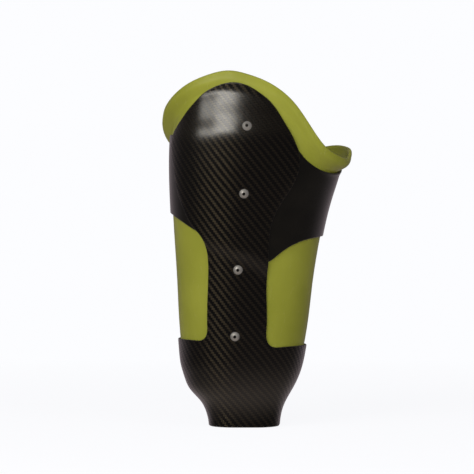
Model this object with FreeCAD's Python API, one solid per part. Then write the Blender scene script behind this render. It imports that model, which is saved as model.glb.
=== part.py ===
import FreeCAD, Part
import math
import os

# Transfemoral (above-knee) prosthetic socket for a left leg, in millimetres.
# +Z is up, +X is posterior, -Y is lateral and +Y is medial. The origin is the centre of the base plate's
# lower face. A section angle is measured about the socket's centre line: 0 is posterior, 90 is medial,
# 180 is anterior and 270 is lateral.

# ---------------------------------------------------------------- driving dimensions

WALL_INNER = 4.5           # flexible inner socket
WALL_CARBON = 2.4          # one carbon laminate
FIT_GAP = 0.4              # between the inner socket, the band and the frame
BASE_EDGE_Z = 0.4          # the laminate stops just above the plate's lower face

# height, then the reach from the centre line: anterior, posterior, lateral, medial
STATIONS = (
    (-6, 34, 33.6, 33.6, 33.6),
    (0, 34.8, 34, 34, 34),
    (15, 38.3, 36, 36, 36),
    (28, 45, 41, 41, 41),
    (40, 56.3, 48, 48, 47),
    (52, 61.5, 54, 53, 51),
    (64, 65.2, 58.2, 56, 54),
    (78, 67, 61.2, 58, 56),
    (110, 69.6, 66.6, 61.5, 58.5),
    (150, 71.6, 71.4, 65, 61),
    (200, 74.7, 79.6, 70, 64),
    (240, 76.8, 89.3, 74, 65.5),
    (268, 77.6, 98, 76.5, 66),
    (300, 77, 103.5, 77, 65.5),
    (335, 73.5, 106, 72.5, 62.5),
    (378, 66, 107, 60, 56),
)
SECTION_POWER = 2.2        # superellipse power of the thigh sections
NECK_POWER_ADD = 0.9       # added at the base, where the section turns square
NECK_POWER_FADE = 30.0

# section angle, height of the brim
BRIM_HEIGHT = (
    (0, 290), (12, 295), (25, 298), (50, 293), (90, 281), (130, 285), (155, 303), (170, 319),
    (180, 331), (190, 341), (205, 356), (220, 365.5), (235, 370), (255, 366), (283, 352),
    (302, 329), (314, 304.7), (322, 291.5), (334, 283), (346, 281),
)
# section angle, outward flare of the brim
BRIM_FLARE = (
    (0, 11), (25, 11), (50, 10), (90, 9), (120, 9), (150, 11), (180, 12.2), (192, 9.8), (205, 7),
    (225, 4.8), (250, 4), (290, 4.2), (310, 5.5), (325, 9), (340, 11),
)
FLARE_FOOT = 21.0          # the flare starts this far below the brim, or just below the band's edge
FLARE_TOP = 7.0            # and is complete this far below it
FLARE_BAND = 1.0

# section angle, height of the proximal band's lower and upper edges
BAND_LOWER = (
    (0, 200), (45, 201), (90, 203), (135, 210), (180, 224), (203, 218.7), (215, 212), (226, 205),
    (242, 197), (262, 188), (280, 179), (292, 174), (297, 180), (305, 187.5), (318, 194.5), (334, 198),
)
BAND_UPPER = (
    (0, 270.5), (15, 276), (40, 277), (90, 267), (130, 270), (155, 287), (172, 300), (182, 306),
    (200, 303), (230, 297), (270, 297), (295, 295), (300, 291), (307, 280), (317, 271), (326, 266),
    (336, 264), (348, 265.5),
)
JOGGLE = WALL_CARBON + FIT_GAP
JOGGLE_RUN = 14.0          # height over which the frame steps out over the band
JOGGLE_TOP = (300.0, 325.0)

# The frame's edge, once round the socket: section angle, height, corner radius (0 for a smooth point)
FRAME_EDGE = (
    (-67.3, 84.5, 13), (-20, 85.5, 0), (20, 85.5, 0), (64, 85, 13),
    (66, 180, 0), (66, 268, 24), (116, 268, 24), (118, 180, 0),
    (120, 91, 11), (155, 92, 0), (195, 92, 0), (234.8, 91.5, 10.5),
    (236, 142, 0), (236.3, 178, 0), (234.6, 190, 0), (231, 200, 0), (224, 209, 0), (216, 225, 0),
    (206.7, 249, 0), (201.5, 275, 0), (198.2, 289, 0), (197.4, 300, 0), (199.8, 309.5, 0), (204.8, 319.5, 0),
    (209.5, 328.5, 0), (214.5, 336.3, 0), (221.1, 346, 0), (231.5, 353.8, 0), (243, 357.4, 0), (257.5, 353.7, 0),
    (267.8, 346.3, 0), (278, 336.5, 0), (286.7, 322.5, 0), (293.8, 307, 0), (299.9, 291, 0),
    (303.3, 272.5, 0), (301.4, 254, 0), (296.4, 239, 0), (290.8, 223, 0), (288, 208, 0), (288.6, 180, 0),
    (289.6, 142, 0),
)

# distal end
PLATE_SIZE = 64.0
PLATE_CORNER = 20.0
PLATE_THICK = 10.0
PLATE_GROOVE = 1.5
BOLT_PITCH = 36.0          # four-hole pattern used on prosthetic adapters
BOLT_RADIUS = 2.5          # M6 tapping drill
PLATE_BORE = 7.0
DOME_EQUATOR = 70.0        # where the closed end of the inner socket begins
DOME_OUTER_DEPTH = 36.0
DOME_INNER_DEPTH = 30.0
DOME_POWER = 3.0
PAD_TOP = 48.0
FILLER_TOP = 50.0

# fixings: section angle, height
LATERAL_FIXINGS = ((-98.1, 96.9), (-97.0, 165.4), (-96.4, 243.5), (-99.9, 311.5))
MEDIAL_FIXINGS = ((91.0, 122.0), (91.0, 240.0))
SCREW_RADIUS = 2.5         # M5
SCREW_HEAD_RADIUS = 4.75
SCREW_HEAD_HEIGHT = 2.75
HEX_ACROSS_FLATS = 3.0
HEX_DEPTH = 1.7
THREAD_GAP = 0.05
HOLE_RADIUS = 2.75
SPOT_DEPTH = 0.25
NUT_FLANGE_RADIUS = 6.5
NUT_FLANGE = 1.2
NUT_SLEEVE_RADIUS = 3.2
WASHER_RADIUS = 5.2
WASHER_RECESS = 0.7
SMALL_GAP = 0.15

# expulsion valve, on the medial side; its axis runs along +Y from the inner socket's outer face
VALVE = FreeCAD.Vector(-2.9, 56.0, 78.0)
PORT_RADIUS = 17.0
SEAT_FLANGE_RADIUS = 15.0
SEAT_RADIUS = 12.0
SEAT_BORE = 9.0
SEAT_SPOT = 2.2
CARTRIDGE_RADIUS = 8.92
HEAD_RADIUS = 11.0
LOCK_RING_RADIUS = 14.0
LOCK_SCALLOPS = 20
BUTTON_RADIUS = 4.6
BUTTON_BASE = 2.4
RECESS_FLOOR = -2.4
STEM_RADIUS = 1.6
ORING_WIRE = 0.75
SPRING_RADIUS = 2.7
SPRING_WIRE = 0.3
SPRING_TURNS = 3
FLAP_RADIUS = 6.0

# sampling of the sculpted skins
RING_POINTS = 48
PATCH_ROWS = 14            # most rows in one face, which keeps volumes exact
SLOPE_STEP = 0.5
NECK_ROWS = (4, 12, 19, 25, 30, 35, 40, 46, 53, 61, 70)
WALL_ROWS = (79, 90, 104, 120, 136, 148, 158, 166, 174, 182, 190, 198, 206, 214)
BRIM_ROWS = (0.1, 0.2, 0.3, 0.4, 0.49, 0.57, 0.64, 0.7, 0.755, 0.805, 0.85, 0.89, 0.925, 0.957, 0.985)

Vector = FreeCAD.Vector
UP = Vector(0, 0, 1)
DEGREE_LENGTH = math.radians(1) * 68   # arc length of one degree on a typical section
TRIM_INNER = 12.0
TRIM_OUTER = 190.0


# ---------------------------------------------------------------- curves through the driving tables

def table_curve(pairs):
    """A smooth function through (position, value) pairs."""
    curve = Part.BSplineCurve()
    points = [Vector(x, y, 0) for x, y in pairs]
    curve.interpolate(Points=points, Parameters=[float(x) for x, y in pairs])
    low, high = pairs[0][0], pairs[-1][0]
    return lambda x: curve.value(min(max(x, low), high)).y


def round_curve(pairs):
    """A smooth function of the section angle through (angle, value) pairs that wraps at 360."""
    wrapped = [(a - 360, v) for a, v in pairs] + list(pairs) + [(a + 360, v) for a, v in pairs]
    function = table_curve(wrapped)
    return lambda angle: function(angle % 360)


REACH = [table_curve([(row[0], row[i]) for row in STATIONS]) for i in (1, 2, 3, 4)]
brim_height = round_curve(BRIM_HEIGHT)
brim_flare = round_curve(BRIM_FLARE)
band_lower = round_curve(BAND_LOWER)
band_upper = round_curve(BAND_UPPER)


def smooth_step(t):
    t = min(max(t, 0.0), 1.0)
    return t * t * (3 - 2 * t)


# ---------------------------------------------------------------- the mould surface

def centre(z):
    anterior, posterior, lateral, medial = [reach(z) for reach in REACH]
    return (posterior - anterior) / 2, (medial - lateral) / 2


def section(angle, z):
    """A point of the plain thigh section at one height."""
    anterior, posterior, lateral, medial = [reach(z) for reach in REACH]
    half_x = (posterior + anterior) / 2
    half_y = (medial + lateral) / 2
    power = SECTION_POWER + NECK_POWER_ADD * math.exp(-(z / NECK_POWER_FADE) ** 2)
    c = math.cos(math.radians(angle))
    s = math.sin(math.radians(angle))
    r = ((abs(c) / half_x) ** power + (abs(s) / half_y) ** power) ** (-1 / power)
    mid_x, mid_y = centre(z)
    return Vector(mid_x + r * c, mid_y + r * s, z)


def outward(angle, z):
    """The horizontal outward normal of the section."""
    along = section(angle + SLOPE_STEP, z) - section(angle - SLOPE_STEP, z)
    normal = Vector(along.y, -along.x, 0)
    return normal.normalize()


def mould(angle, z):
    """The inner socket's outer face, with the flare of the brim."""
    top = brim_height(angle) - FLARE_TOP
    start = max(brim_height(angle) - FLARE_FOOT, band_upper(angle) - FLARE_BAND)
    flare = brim_flare(angle) * smooth_step((z - start) / (top - start))
    return section(angle, z) + outward(angle, z) * flare


def skin(angle, z, offset):
    """A point at a true distance from the mould, moved level so that a ring stays flat."""
    normal = outward(angle, z)
    rise = mould(angle, z + SLOPE_STEP) - mould(angle, z - SLOPE_STEP)
    slope = rise.dot(normal) / (2 * SLOPE_STEP)
    return mould(angle, z) + normal * (offset * math.sqrt(1 + slope * slope))


def joggle(angle, z):
    """How far the frame steps out where it passes over the band."""
    start = band_lower(angle) - 2 - JOGGLE_RUN
    low, high = JOGGLE_TOP
    return JOGGLE * smooth_step((z - start) / JOGGLE_RUN) * (1 - smooth_step((z - low) / (high - low)))


# ---------------------------------------------------------------- surfaces and solids

def ring_poles(points):
    """Poles of the uniform closed cubic spline through a ring of points."""
    root = math.sqrt(3) - 2
    count = len(points)
    scale = math.sqrt(3) / (1 - root ** count)
    weights = [scale * (root ** m + root ** (count - m)) for m in range(count)]
    poles = []
    for i in range(count):
        pole = Vector(0, 0, 0)
        for j in range(count):
            pole = pole + points[j] * weights[abs(i - j)]
        poles.append(pole)
    return poles


def closed_skin(rows):
    """A smooth closed surface through rings of points, and the planes that close its ends, as a solid."""
    lengths = [0.0]
    for below, above in zip(rows, rows[1:]):
        step = sum(a.distanceToPoint(b) for a, b in zip(below, above)) / len(above)
        lengths.append(lengths[-1] + step)
    columns = []
    for column in zip(*[ring_poles(row) for row in rows]):
        curve = Part.BSplineCurve()
        curve.interpolate(Points=list(column), Parameters=lengths)
        columns.append(curve)
    surface = Part.BSplineSurface()
    surface.buildFromPolesMultsKnots(
        [curve.getPoles() for curve in columns],
        [1] * (len(columns) + 1), columns[0].getMultiplicities(),
        [float(i) for i in range(len(columns) + 1)], columns[0].getKnots(),
        True, False, 3, 3)
    middle = len(columns) // 2
    count = math.ceil((len(rows) - 1) / PATCH_ROWS)
    breaks = [lengths[round((len(rows) - 1) * i / count)] for i in range(count + 1)]
    faces = []
    ends = ([], [])
    for first, last in ((0, middle), (middle, len(columns))):
        for low, high in zip(breaks, breaks[1:]):
            patch = surface.copy()
            patch.segment(first, last, low, high)
            faces.append(patch.toShape())
            if low == breaks[0]:
                ends[0].append(patch.vIso(low).toShape())
            if high == breaks[-1]:
                ends[1].append(patch.vIso(high).toShape())
    for edges in ends:
        faces.append(Part.Face(Part.Wire(edges)))
    shell = Part.Shell(faces)
    shell.sewShape()
    solid = Part.Solid(shell)
    if solid.Volume < 0:
        solid.reverse()
    return solid


def ring_angles():
    return [360.0 * i / RING_POINTS for i in range(RING_POINTS)]


def wall_height(angle, level):
    """The height of a row of the wall: a level above 1 is a height, and one up to 1 a share of the way
    from the last plain row up to the middle of the rolled brim."""
    if level > 1:
        return level
    top = brim_height(angle) - WALL_INNER / 2
    return WALL_ROWS[-1] + (top - WALL_ROWS[-1]) * level


def core(low_heights, high_level, top_height, offset):
    """The solid inside the mould grown by offset(angle, z), on the rows that the inner socket has."""
    rows = [[skin(a, z, offset(a, z)) for a in ring_angles()] for z in low_heights]
    if high_level:
        for level in [row for row in WALL_ROWS + BRIM_ROWS if row <= 1 or row > high_level]:
            heights = [wall_height(a, level) for a in ring_angles()]
            rows.append([skin(a, z, offset(a, z)) for a, z in zip(ring_angles(), heights)])
        for share in (0.25, 0.6, 1):
            heights = [wall_height(a, 1) + (top_height - wall_height(a, 1)) * share for a in ring_angles()]
            rows.append([skin(a, z, offset(a, z)) for a, z in zip(ring_angles(), heights)])
    return closed_skin(rows)


def dome_rows(depth, offset, first, last, count):
    """Rings of the closed end, from the pole angle `first` to `last` in degrees; 90 is the equator."""
    rows = []
    for i in range(count):
        phi = math.radians(first + (last - first) * i / (count - 1))
        spread = math.sin(phi) ** (2 / DOME_POWER)
        z = DOME_EQUATOR - depth * math.cos(phi) ** (2 / DOME_POWER)
        mid_x, mid_y = centre(z)
        middle = Vector(mid_x, mid_y, z)
        rows.append([middle + (skin(a, z, offset) - middle) * spread for a in ring_angles()])
    return rows


def ray_point(angle, z, radius):
    mid_x, mid_y = centre(z)
    turn = math.radians(angle)
    return Vector(mid_x + radius * math.cos(turn), mid_y + radius * math.sin(turn), z)


def trim_sheet(outline):
    """A sheet of level rays through a closed outline of (angle, height) points."""
    params = [0.0]
    closed = list(outline) + [(outline[0][0] + 360, outline[0][1])]
    for (a0, z0), (a1, z1) in zip(closed, closed[1:]):
        params.append(params[-1] + math.hypot((a1 - a0) * DEGREE_LENGTH, z1 - z0))
    rims = []
    for radius in (TRIM_INNER, TRIM_OUTER):
        curve = Part.BSplineCurve()
        points = [ray_point(a, z, radius) for a, z in outline]
        curve.interpolate(Points=points, PeriodicFlag=True, Parameters=params)
        rims.append(curve.toShape())
    return Part.makeRuledSurface(rims[0], rims[1])


def round_corners(vertices):
    """The outline with each corner that has a radius replaced by points of its arc."""
    result = []
    count = len(vertices)
    for i, (angle, z, radius) in enumerate(vertices):
        if not radius:
            result.append((angle, z))
            continue
        before = vertices[i - 1]
        after = vertices[(i + 1) % count]
        turn_before = -360 if i == 0 else 0
        turn_after = 360 if i == count - 1 else 0
        corner = Vector(angle * DEGREE_LENGTH, z, 0)
        back = Vector((before[0] + turn_before) * DEGREE_LENGTH, before[1], 0) - corner
        ahead = Vector((after[0] + turn_after) * DEGREE_LENGTH, after[1], 0) - corner
        back.normalize()
        ahead.normalize()
        half = back.getAngle(ahead) / 2
        tangent = radius / math.tan(half)
        bisector = (back + ahead).normalize()
        middle = corner + bisector * (radius / math.sin(half))
        arc = middle - bisector * radius
        for point in (corner + back * (tangent + 4), corner + back * tangent, arc,
                      corner + ahead * tangent, corner + ahead * (tangent + 4)):
            result.append((point.x / DEGREE_LENGTH, point.y))
    return result


def split(shape, sheet):
    """The pieces of a shape on both sides of a sheet, lowest first."""
    pieces = shape.generalFuse([sheet])[0]
    return sorted(pieces.Solids, key=lambda solid: solid.optimalBoundingBox().ZMin)


def edge_points(function, step=9):
    return [(a, function(a)) for a in range(0, 360, step)]


# ---------------------------------------------------------------- fixings

def on_wall(shape, angle, z):
    """Move a shape built on +Z to stand on the wall, square to it."""
    here = mould(angle, z)
    up = mould(angle, z + SLOPE_STEP) - mould(angle, z - SLOPE_STEP)
    along = mould(angle + SLOPE_STEP, z) - mould(angle - SLOPE_STEP, z)
    normal = along.cross(up)
    placed = shape.copy()
    placed.Placement = FreeCAD.Placement(here, FreeCAD.Rotation(UP, normal))
    return placed


def disc(radius, low, high):
    return Part.makeCylinder(radius, high - low, Vector(0, 0, low))


def tube(outer, inner, low, high):
    return disc(outer, low, high).cut(disc(inner, low - 1, high + 1))


def hexagon(across, low, high):
    corner = across / math.sqrt(3)
    points = [Vector(corner * math.cos(math.radians(60 * i)), corner * math.sin(math.radians(60 * i)), low)
              for i in range(7)]
    return Part.Face(Part.makePolygon(points)).extrude(Vector(0, 0, high - low))


def button_screw(seat, tip):
    """A button-head screw whose head sits at `seat` and whose tip is at `tip`."""
    ball = (SCREW_HEAD_RADIUS ** 2 + SCREW_HEAD_HEIGHT ** 2) / (2 * SCREW_HEAD_HEIGHT)
    rim = 0.5
    crown = Part.makeSphere(ball, Vector(0, 0, seat + SCREW_HEAD_HEIGHT - ball))
    top = seat + SCREW_HEAD_HEIGHT
    crown = crown.fuse(disc(SCREW_HEAD_RADIUS, seat, seat + rim))
    head = disc(SCREW_HEAD_RADIUS - 0.12, seat, top).common(crown)
    head = head.cut(hexagon(HEX_ACROSS_FLATS, top - HEX_DEPTH, top + 1))
    shank = disc(SCREW_RADIUS, tip, seat + 0.1)
    shank = shank.makeChamfer(0.5, [e for e in shank.Edges if e.BoundBox.ZMax < tip + 0.01])
    return head.fuse(shank).removeSplitter()


def barrel_nut(inner_face, sleeve_end):
    """A flanged barrel nut with its flange flush in the inner face."""
    flange = disc(NUT_FLANGE_RADIUS, inner_face, inner_face + NUT_FLANGE)
    sleeve = disc(NUT_SLEEVE_RADIUS, inner_face, sleeve_end)
    body = flange.fuse(sleeve).cut(disc(SCREW_RADIUS + THREAD_GAP, inner_face + 0.6, sleeve_end + 1))
    for side in (-1, 1):
        body = body.cut(disc(0.8, inner_face - 1, inner_face + 0.8).translated(Vector(4.4 * side, 0, 0)))
    return body.removeSplitter()


# ---------------------------------------------------------------- valve pieces, on +Z from the wall

def valve_seat():
    body = disc(SEAT_RADIUS, -8.0, -1.8).fuse(disc(SEAT_FLANGE_RADIUS, -2.0, 1.4))
    return body.cut(disc(SEAT_BORE, -9, 3)).removeSplitter()


def valve_cartridge():
    body = disc(CARTRIDGE_RADIUS, -8.6, 2.0).fuse(disc(HEAD_RADIUS, 1.7, 5.2))
    body = body.cut(disc(BUTTON_RADIUS + 0.15, RECESS_FLOOR, 6))
    body = body.cut(disc(STEM_RADIUS + 0.08, -9, 0))
    groove = tube(CARTRIDGE_RADIUS + 1, CARTRIDGE_RADIUS - 1.5, -5.0, -3.2)
    for i in range(6):
        turn = math.radians(60 * i)
        body = body.cut(disc(0.7, -9, 0).translated(Vector(3.4 * math.cos(turn), 3.4 * math.sin(turn), 0)))
    return body.cut(groove).removeSplitter()


def valve_o_ring():
    return Part.makeTorus(CARTRIDGE_RADIUS - 0.72, ORING_WIRE, Vector(0, 0, -4.1))


def valve_lock_ring():
    ring = tube(LOCK_RING_RADIUS, HEAD_RADIUS + 0.12, 1.7, 5.0)
    for i in range(LOCK_SCALLOPS):
        turn = math.radians(360.0 * i / LOCK_SCALLOPS)
        notch = disc(1.0, 1.0, 6.0).translated(Vector(14.5 * math.cos(turn), 14.5 * math.sin(turn), 0))
        ring = ring.cut(notch)
    return ring


def valve_button():
    cap = disc(BUTTON_RADIUS, BUTTON_BASE, 6.4)
    cap = cap.makeFillet(0.8, [e for e in cap.Edges if e.BoundBox.ZMin > 6.3])
    dish = Part.makeSphere(14, Vector(0, 0, 6.0 + 14))
    stem = disc(STEM_RADIUS, -10.8, BUTTON_BASE + 0.2)
    groove = tube(STEM_RADIUS + 1, STEM_RADIUS - 0.4, -10.3, -9.9)
    return cap.cut(dish).fuse(stem).cut(groove).removeSplitter()


def valve_spring():
    """A coil between the floor of the recess and the button."""
    height = BUTTON_BASE - RECESS_FLOOR - 2 * SPRING_WIRE - 0.1
    lead = math.atan2(height / SPRING_TURNS, 2 * math.pi * SPRING_RADIUS)
    steps = 24 * SPRING_TURNS
    rings = []
    for i in range(steps + 1):
        turn = 2 * math.pi * SPRING_TURNS * i / steps
        out = Vector(math.cos(turn), math.sin(turn), 0)
        across = Vector(math.sin(turn) * math.sin(lead), -math.cos(turn) * math.sin(lead), math.cos(lead))
        middle = out * SPRING_RADIUS + UP * (RECESS_FLOOR + SPRING_WIRE + 0.05 + height * i / steps)
        ring = []
        for j in range(12):
            around = 2 * math.pi * j / 12
            ring.append(middle + (out * math.cos(around) + across * math.sin(around)) * SPRING_WIRE)
        rings.append(ring)
    return closed_skin(rings)


def valve_flap():
    return tube(FLAP_RADIUS, STEM_RADIUS + 0.15, -9.7, -8.8)


def valve_clip():
    ring = tube(STEM_RADIUS + 1.4, STEM_RADIUS - 0.35, -10.25, -9.95)
    return ring.cut(Part.makeBox(1.6, 4, 2, Vector(-0.8, 0, -11)))


def in_valve(shape):
    placed = shape.copy()
    placed.Placement = FreeCAD.Placement(VALVE, FreeCAD.Rotation(UP, Vector(0, 1, 0)))
    return placed


# ---------------------------------------------------------------- main shells

def inner_socket():
    """The flexible socket: inner skin, rolled brim and outer skin as one surface."""
    half = WALL_INNER / 2

    def wall_row(offset, level):
        return [skin(a, wall_height(a, level), offset) for a in ring_angles()]

    def brim_row(phi):
        row = []
        for a in ring_angles():
            z = brim_height(a) - half
            outer = skin(a, z, 0)
            inner = skin(a, z, -WALL_INNER)
            middle = (outer + inner) * 0.5
            side = (outer - inner) * 0.5
            row.append(middle + side * math.cos(phi) + UP * (half * math.sin(phi)))
        return row

    inner_levels = WALL_ROWS[::2] + BRIM_ROWS[::2]
    outer_levels = WALL_ROWS + BRIM_ROWS
    rows = dome_rows(DOME_INNER_DEPTH, -WALL_INNER, 5, 90, 9)
    rows += [wall_row(-WALL_INNER, level) for level in inner_levels]
    rows += [brim_row(math.radians(a)) for a in (180, 135, 90, 45, 0)]
    rows += [wall_row(0, level) for level in reversed(outer_levels)]
    rows += reversed(dome_rows(DOME_OUTER_DEPTH, 0, 5, 90, 10))
    return closed_skin(rows)


def carbon_frame():
    outer = core((-4,) + NECK_ROWS, NECK_ROWS[-1], 376, lambda a, z: FIT_GAP + WALL_CARBON + joggle(a, z))
    inner = core((-8,) + NECK_ROWS, NECK_ROWS[-1], 380, lambda a, z: FIT_GAP + joggle(a, z))
    shell = outer.cut(inner)
    shell = split(shell, trim_sheet(round_corners(FRAME_EDGE)))[0]
    shell = shell.cut(Part.makeBox(200, 200, 20, Vector(-100, -100, BASE_EDGE_Z - 20)))
    heel_cut = Part.makeBox(40, 200, 20, Vector(0, -100, -20))
    heel_cut.Placement = FreeCAD.Placement(Vector(33, 0, BASE_EDGE_Z), FreeCAD.Rotation(Vector(0, 1, 0), -42))
    return shell.cut(heel_cut)


def proximal_band():
    outer = core((148,), 150, 376, lambda a, z: FIT_GAP + WALL_CARBON)
    inner = core((144,), 150, 380, lambda a, z: FIT_GAP)
    shell = outer.cut(inner)
    shell = split(shell, trim_sheet(edge_points(band_lower)))[-1]
    return split(shell, trim_sheet(edge_points(band_upper)))[0]


def distal_end_pad():
    rows = dome_rows(DOME_INNER_DEPTH - 0.3, -WALL_INNER - 0.3, 6, 90, 16)
    body = closed_skin(rows)
    top = Part.makeSphere(160, Vector(centre(DOME_EQUATOR)[0], centre(DOME_EQUATOR)[1], PAD_TOP + 160))
    return body.cut(Part.makeBox(200, 200, 60, Vector(-100, -100, PAD_TOP + 5))).cut(top)


def rounded_slab(size, corner, low, high):
    body = Part.makeBox(size, size, high - low, Vector(-size / 2, -size / 2, low))
    return body.makeFillet(corner, [e for e in body.Edges if e.BoundBox.ZLength > (high - low) / 2])


def distal_filler():
    """Rigid foam from the plate up to the closed end of the inner socket."""
    body = core((1, 7, 13, 19, 25, 30, 35, 40, 45, FILLER_TOP), None, None, lambda a, z: 0.1)
    dome = closed_skin(dome_rows(DOME_OUTER_DEPTH + 0.3, 0.3, 4, 90, 12))
    pocket = rounded_slab(PLATE_SIZE + 2 * SMALL_GAP, PLATE_CORNER, 0, PLATE_THICK + 2 * SMALL_GAP)
    return body.cut(dome).cut(pocket)


def attachment_plate():
    """The four-hole plate, with a groove round its edge that keys it into the foam."""
    body = rounded_slab(PLATE_SIZE, PLATE_CORNER, 0, PLATE_THICK)
    waist = rounded_slab(PLATE_SIZE - 2 * PLATE_GROOVE, PLATE_CORNER - PLATE_GROOVE, 3.5, 6.5)
    body = body.cut(rounded_slab(PLATE_SIZE + 4, PLATE_CORNER, 3.5, 6.5).cut(waist))
    for x in (-BOLT_PITCH / 2, BOLT_PITCH / 2):
        for y in (-BOLT_PITCH / 2, BOLT_PITCH / 2):
            body = body.cut(Part.makeCylinder(BOLT_RADIUS, 30, Vector(x, y, -10)))
    body = body.cut(Part.makeCylinder(PLATE_BORE, 30, Vector(0, 0, -10)))
    return body


# ---------------------------------------------------------------- assembly

parts = {
    "inner_socket": inner_socket(),
    "carbon_frame": carbon_frame(),
    "proximal_band": proximal_band(),
    "distal_end_pad": distal_end_pad(),
    "distal_filler": distal_filler(),
    "attachment_plate": attachment_plate(),
}


def bore(node, tool):
    parts[node] = parts[node].cut(tool)


def add_fixing(side, number, angle, z):
    """One screw, nut and washer, and their holes in the shells they hold together."""
    over_band = band_lower(angle) < z < band_upper(angle)
    step = joggle(angle, z)
    inside = -WALL_INNER
    outside = FIT_GAP + WALL_CARBON + step
    seat = outside - SPOT_DEPTH
    flush = inside + NUT_FLANGE + SMALL_GAP
    bore("inner_socket", on_wall(disc(NUT_SLEEVE_RADIUS + SMALL_GAP, inside - 4, 4), angle, z))
    bore("inner_socket", on_wall(disc(NUT_FLANGE_RADIUS + 0.2, inside - 4, flush), angle, z))
    bore("inner_socket", on_wall(disc(WASHER_RADIUS + 0.2, -WASHER_RECESS, 4), angle, z))
    bore("carbon_frame", on_wall(disc(HOLE_RADIUS, inside, outside + 5), angle, z))
    bore("carbon_frame", on_wall(disc(SCREW_HEAD_RADIUS + 0.3, seat, outside + 5), angle, z))
    if over_band:
        bore("proximal_band", on_wall(disc(HOLE_RADIUS, inside, outside + 5), angle, z))
    least_step = min(joggle(angle, z - WASHER_RADIUS), joggle(angle, z + WASHER_RADIUS))
    washer_top = FIT_GAP - 2 * SMALL_GAP + (0 if over_band else least_step)
    screw = button_screw(seat + 0.02, inside + 1.0)
    nut = barrel_nut(inside, 0.6 - WASHER_RECESS)
    washer = tube(WASHER_RADIUS, NUT_SLEEVE_RADIUS + SMALL_GAP, SMALL_GAP - WASHER_RECESS, washer_top)
    for piece, shape in (("screw", screw), ("nut", nut), ("washer", washer)):
        parts["%s_%s_%d" % (side, piece, number)] = on_wall(shape, angle, z)


for number, (angle, z) in enumerate(LATERAL_FIXINGS, 1):
    add_fixing("lateral", number, angle, z)
for number, (angle, z) in enumerate(MEDIAL_FIXINGS, 1):
    add_fixing("medial", number, angle, z)

bore("inner_socket", in_valve(disc(SEAT_RADIUS + SMALL_GAP, -20, 5)))
bore("inner_socket", in_valve(disc(SEAT_FLANGE_RADIUS + 0.3, -SEAT_SPOT, 10)))
bore("carbon_frame", in_valve(disc(PORT_RADIUS, -8, 20)))
parts["valve_seat"] = in_valve(valve_seat())
parts["valve_cartridge"] = in_valve(valve_cartridge())
parts["valve_o_ring"] = in_valve(valve_o_ring())
parts["valve_lock_ring"] = in_valve(valve_lock_ring())
parts["valve_button"] = in_valve(valve_button())
parts["valve_spring"] = in_valve(valve_spring())
parts["valve_flap"] = in_valve(valve_flap())
parts["valve_clip"] = in_valve(valve_clip())

os.makedirs("parts", exist_ok=True)
for name, shape in parts.items():
    shape.exportStep("parts/%s.step" % name)
    box = shape.BoundBox
    print("%-18s solids %d valid %s volume %10.1f  x %.1f %.1f  y %.1f %.1f  z %.1f %.1f" % (
        name, len(shape.Solids), shape.isValid(), shape.Volume,
        box.XMin, box.XMax, box.YMin, box.YMax, box.ZMin, box.ZMax))
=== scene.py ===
import math

import bmesh
import bpy
import numpy as np
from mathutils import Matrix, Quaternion, Vector
from mathutils.bvhtree import BVHTree
from mathutils.geometry import delaunay_2d_cdt
from mathutils.kdtree import KDTree


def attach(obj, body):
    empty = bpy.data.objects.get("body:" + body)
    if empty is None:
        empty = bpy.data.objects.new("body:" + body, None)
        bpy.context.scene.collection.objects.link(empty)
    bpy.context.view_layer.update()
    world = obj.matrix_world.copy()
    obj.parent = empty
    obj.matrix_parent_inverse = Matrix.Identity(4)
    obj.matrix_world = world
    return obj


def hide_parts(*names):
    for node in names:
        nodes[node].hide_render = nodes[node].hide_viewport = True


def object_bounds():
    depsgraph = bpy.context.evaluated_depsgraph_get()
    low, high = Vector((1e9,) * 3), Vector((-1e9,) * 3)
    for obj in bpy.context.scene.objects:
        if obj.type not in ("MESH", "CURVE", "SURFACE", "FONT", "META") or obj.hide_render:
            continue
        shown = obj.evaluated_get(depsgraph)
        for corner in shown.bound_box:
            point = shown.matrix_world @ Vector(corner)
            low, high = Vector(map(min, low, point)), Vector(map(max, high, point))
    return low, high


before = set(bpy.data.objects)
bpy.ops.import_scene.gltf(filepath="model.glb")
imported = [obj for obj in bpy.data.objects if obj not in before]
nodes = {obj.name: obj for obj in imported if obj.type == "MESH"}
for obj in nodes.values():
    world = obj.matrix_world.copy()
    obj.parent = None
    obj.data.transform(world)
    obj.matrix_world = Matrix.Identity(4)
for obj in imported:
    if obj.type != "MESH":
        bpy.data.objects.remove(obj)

cad_bounds = [list(corner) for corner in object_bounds()]

# ---------------------------------------------------------------- sizes, in metres

MM = 0.001
ANGLE_COUNT = 360                 # columns of the sampled skins
HEIGHT_STEP = 1.25 * MM           # rows of the sampled skins
RAY_START = 200 * MM              # outside everything
FILL_PASSES = 400                 # carries the skins' radii across their openings
SKIN_PASSES = 12                  # smooths the CAD meshes' facets out of the skins
GRID_ANGLES = 200                 # interior mesh columns
GRID_STEP = 2.4 * MM              # interior mesh rows
GRID_CLEARANCE = 0.55             # of a grid step, between interior points and edge rows
LOOP_STEP = 1.2 * MM              # widest spacing along a trimmed edge
LOOP_PASSES = 3                   # smooths a long trimmed edge
SLIVER = 8 * MM                   # shorter loops are flaws of the CAD mesh
SMALL_LOOP = 60 * MM              # shorter loops are round holes
FLAT_RADIUS = 68 * MM             # typical radius, for the flat map that is triangulated
EDGE_ROWS = (0.0, 0.12, 0.3, 0.55, 0.85, 1.3, 2.1)   # mm inside a trimmed edge
ROW_CLEARANCE = 0.88              # of its depth, between a row's points and any edge
EDGE_FINISH = 0.35 * MM           # the sanded part of a trimmed edge
OUTER_ROUND = 0.95 * MM
INNER_ROUND = 0.55 * MM
LAMINATE = 2.4 * MM               # wall of the frame and the band
HOLE_RADIUS = 4.95 * MM           # a screw's head sits in it
HOLE_ROUND = 0.25 * MM
HOLE_POINTS = 60
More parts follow.
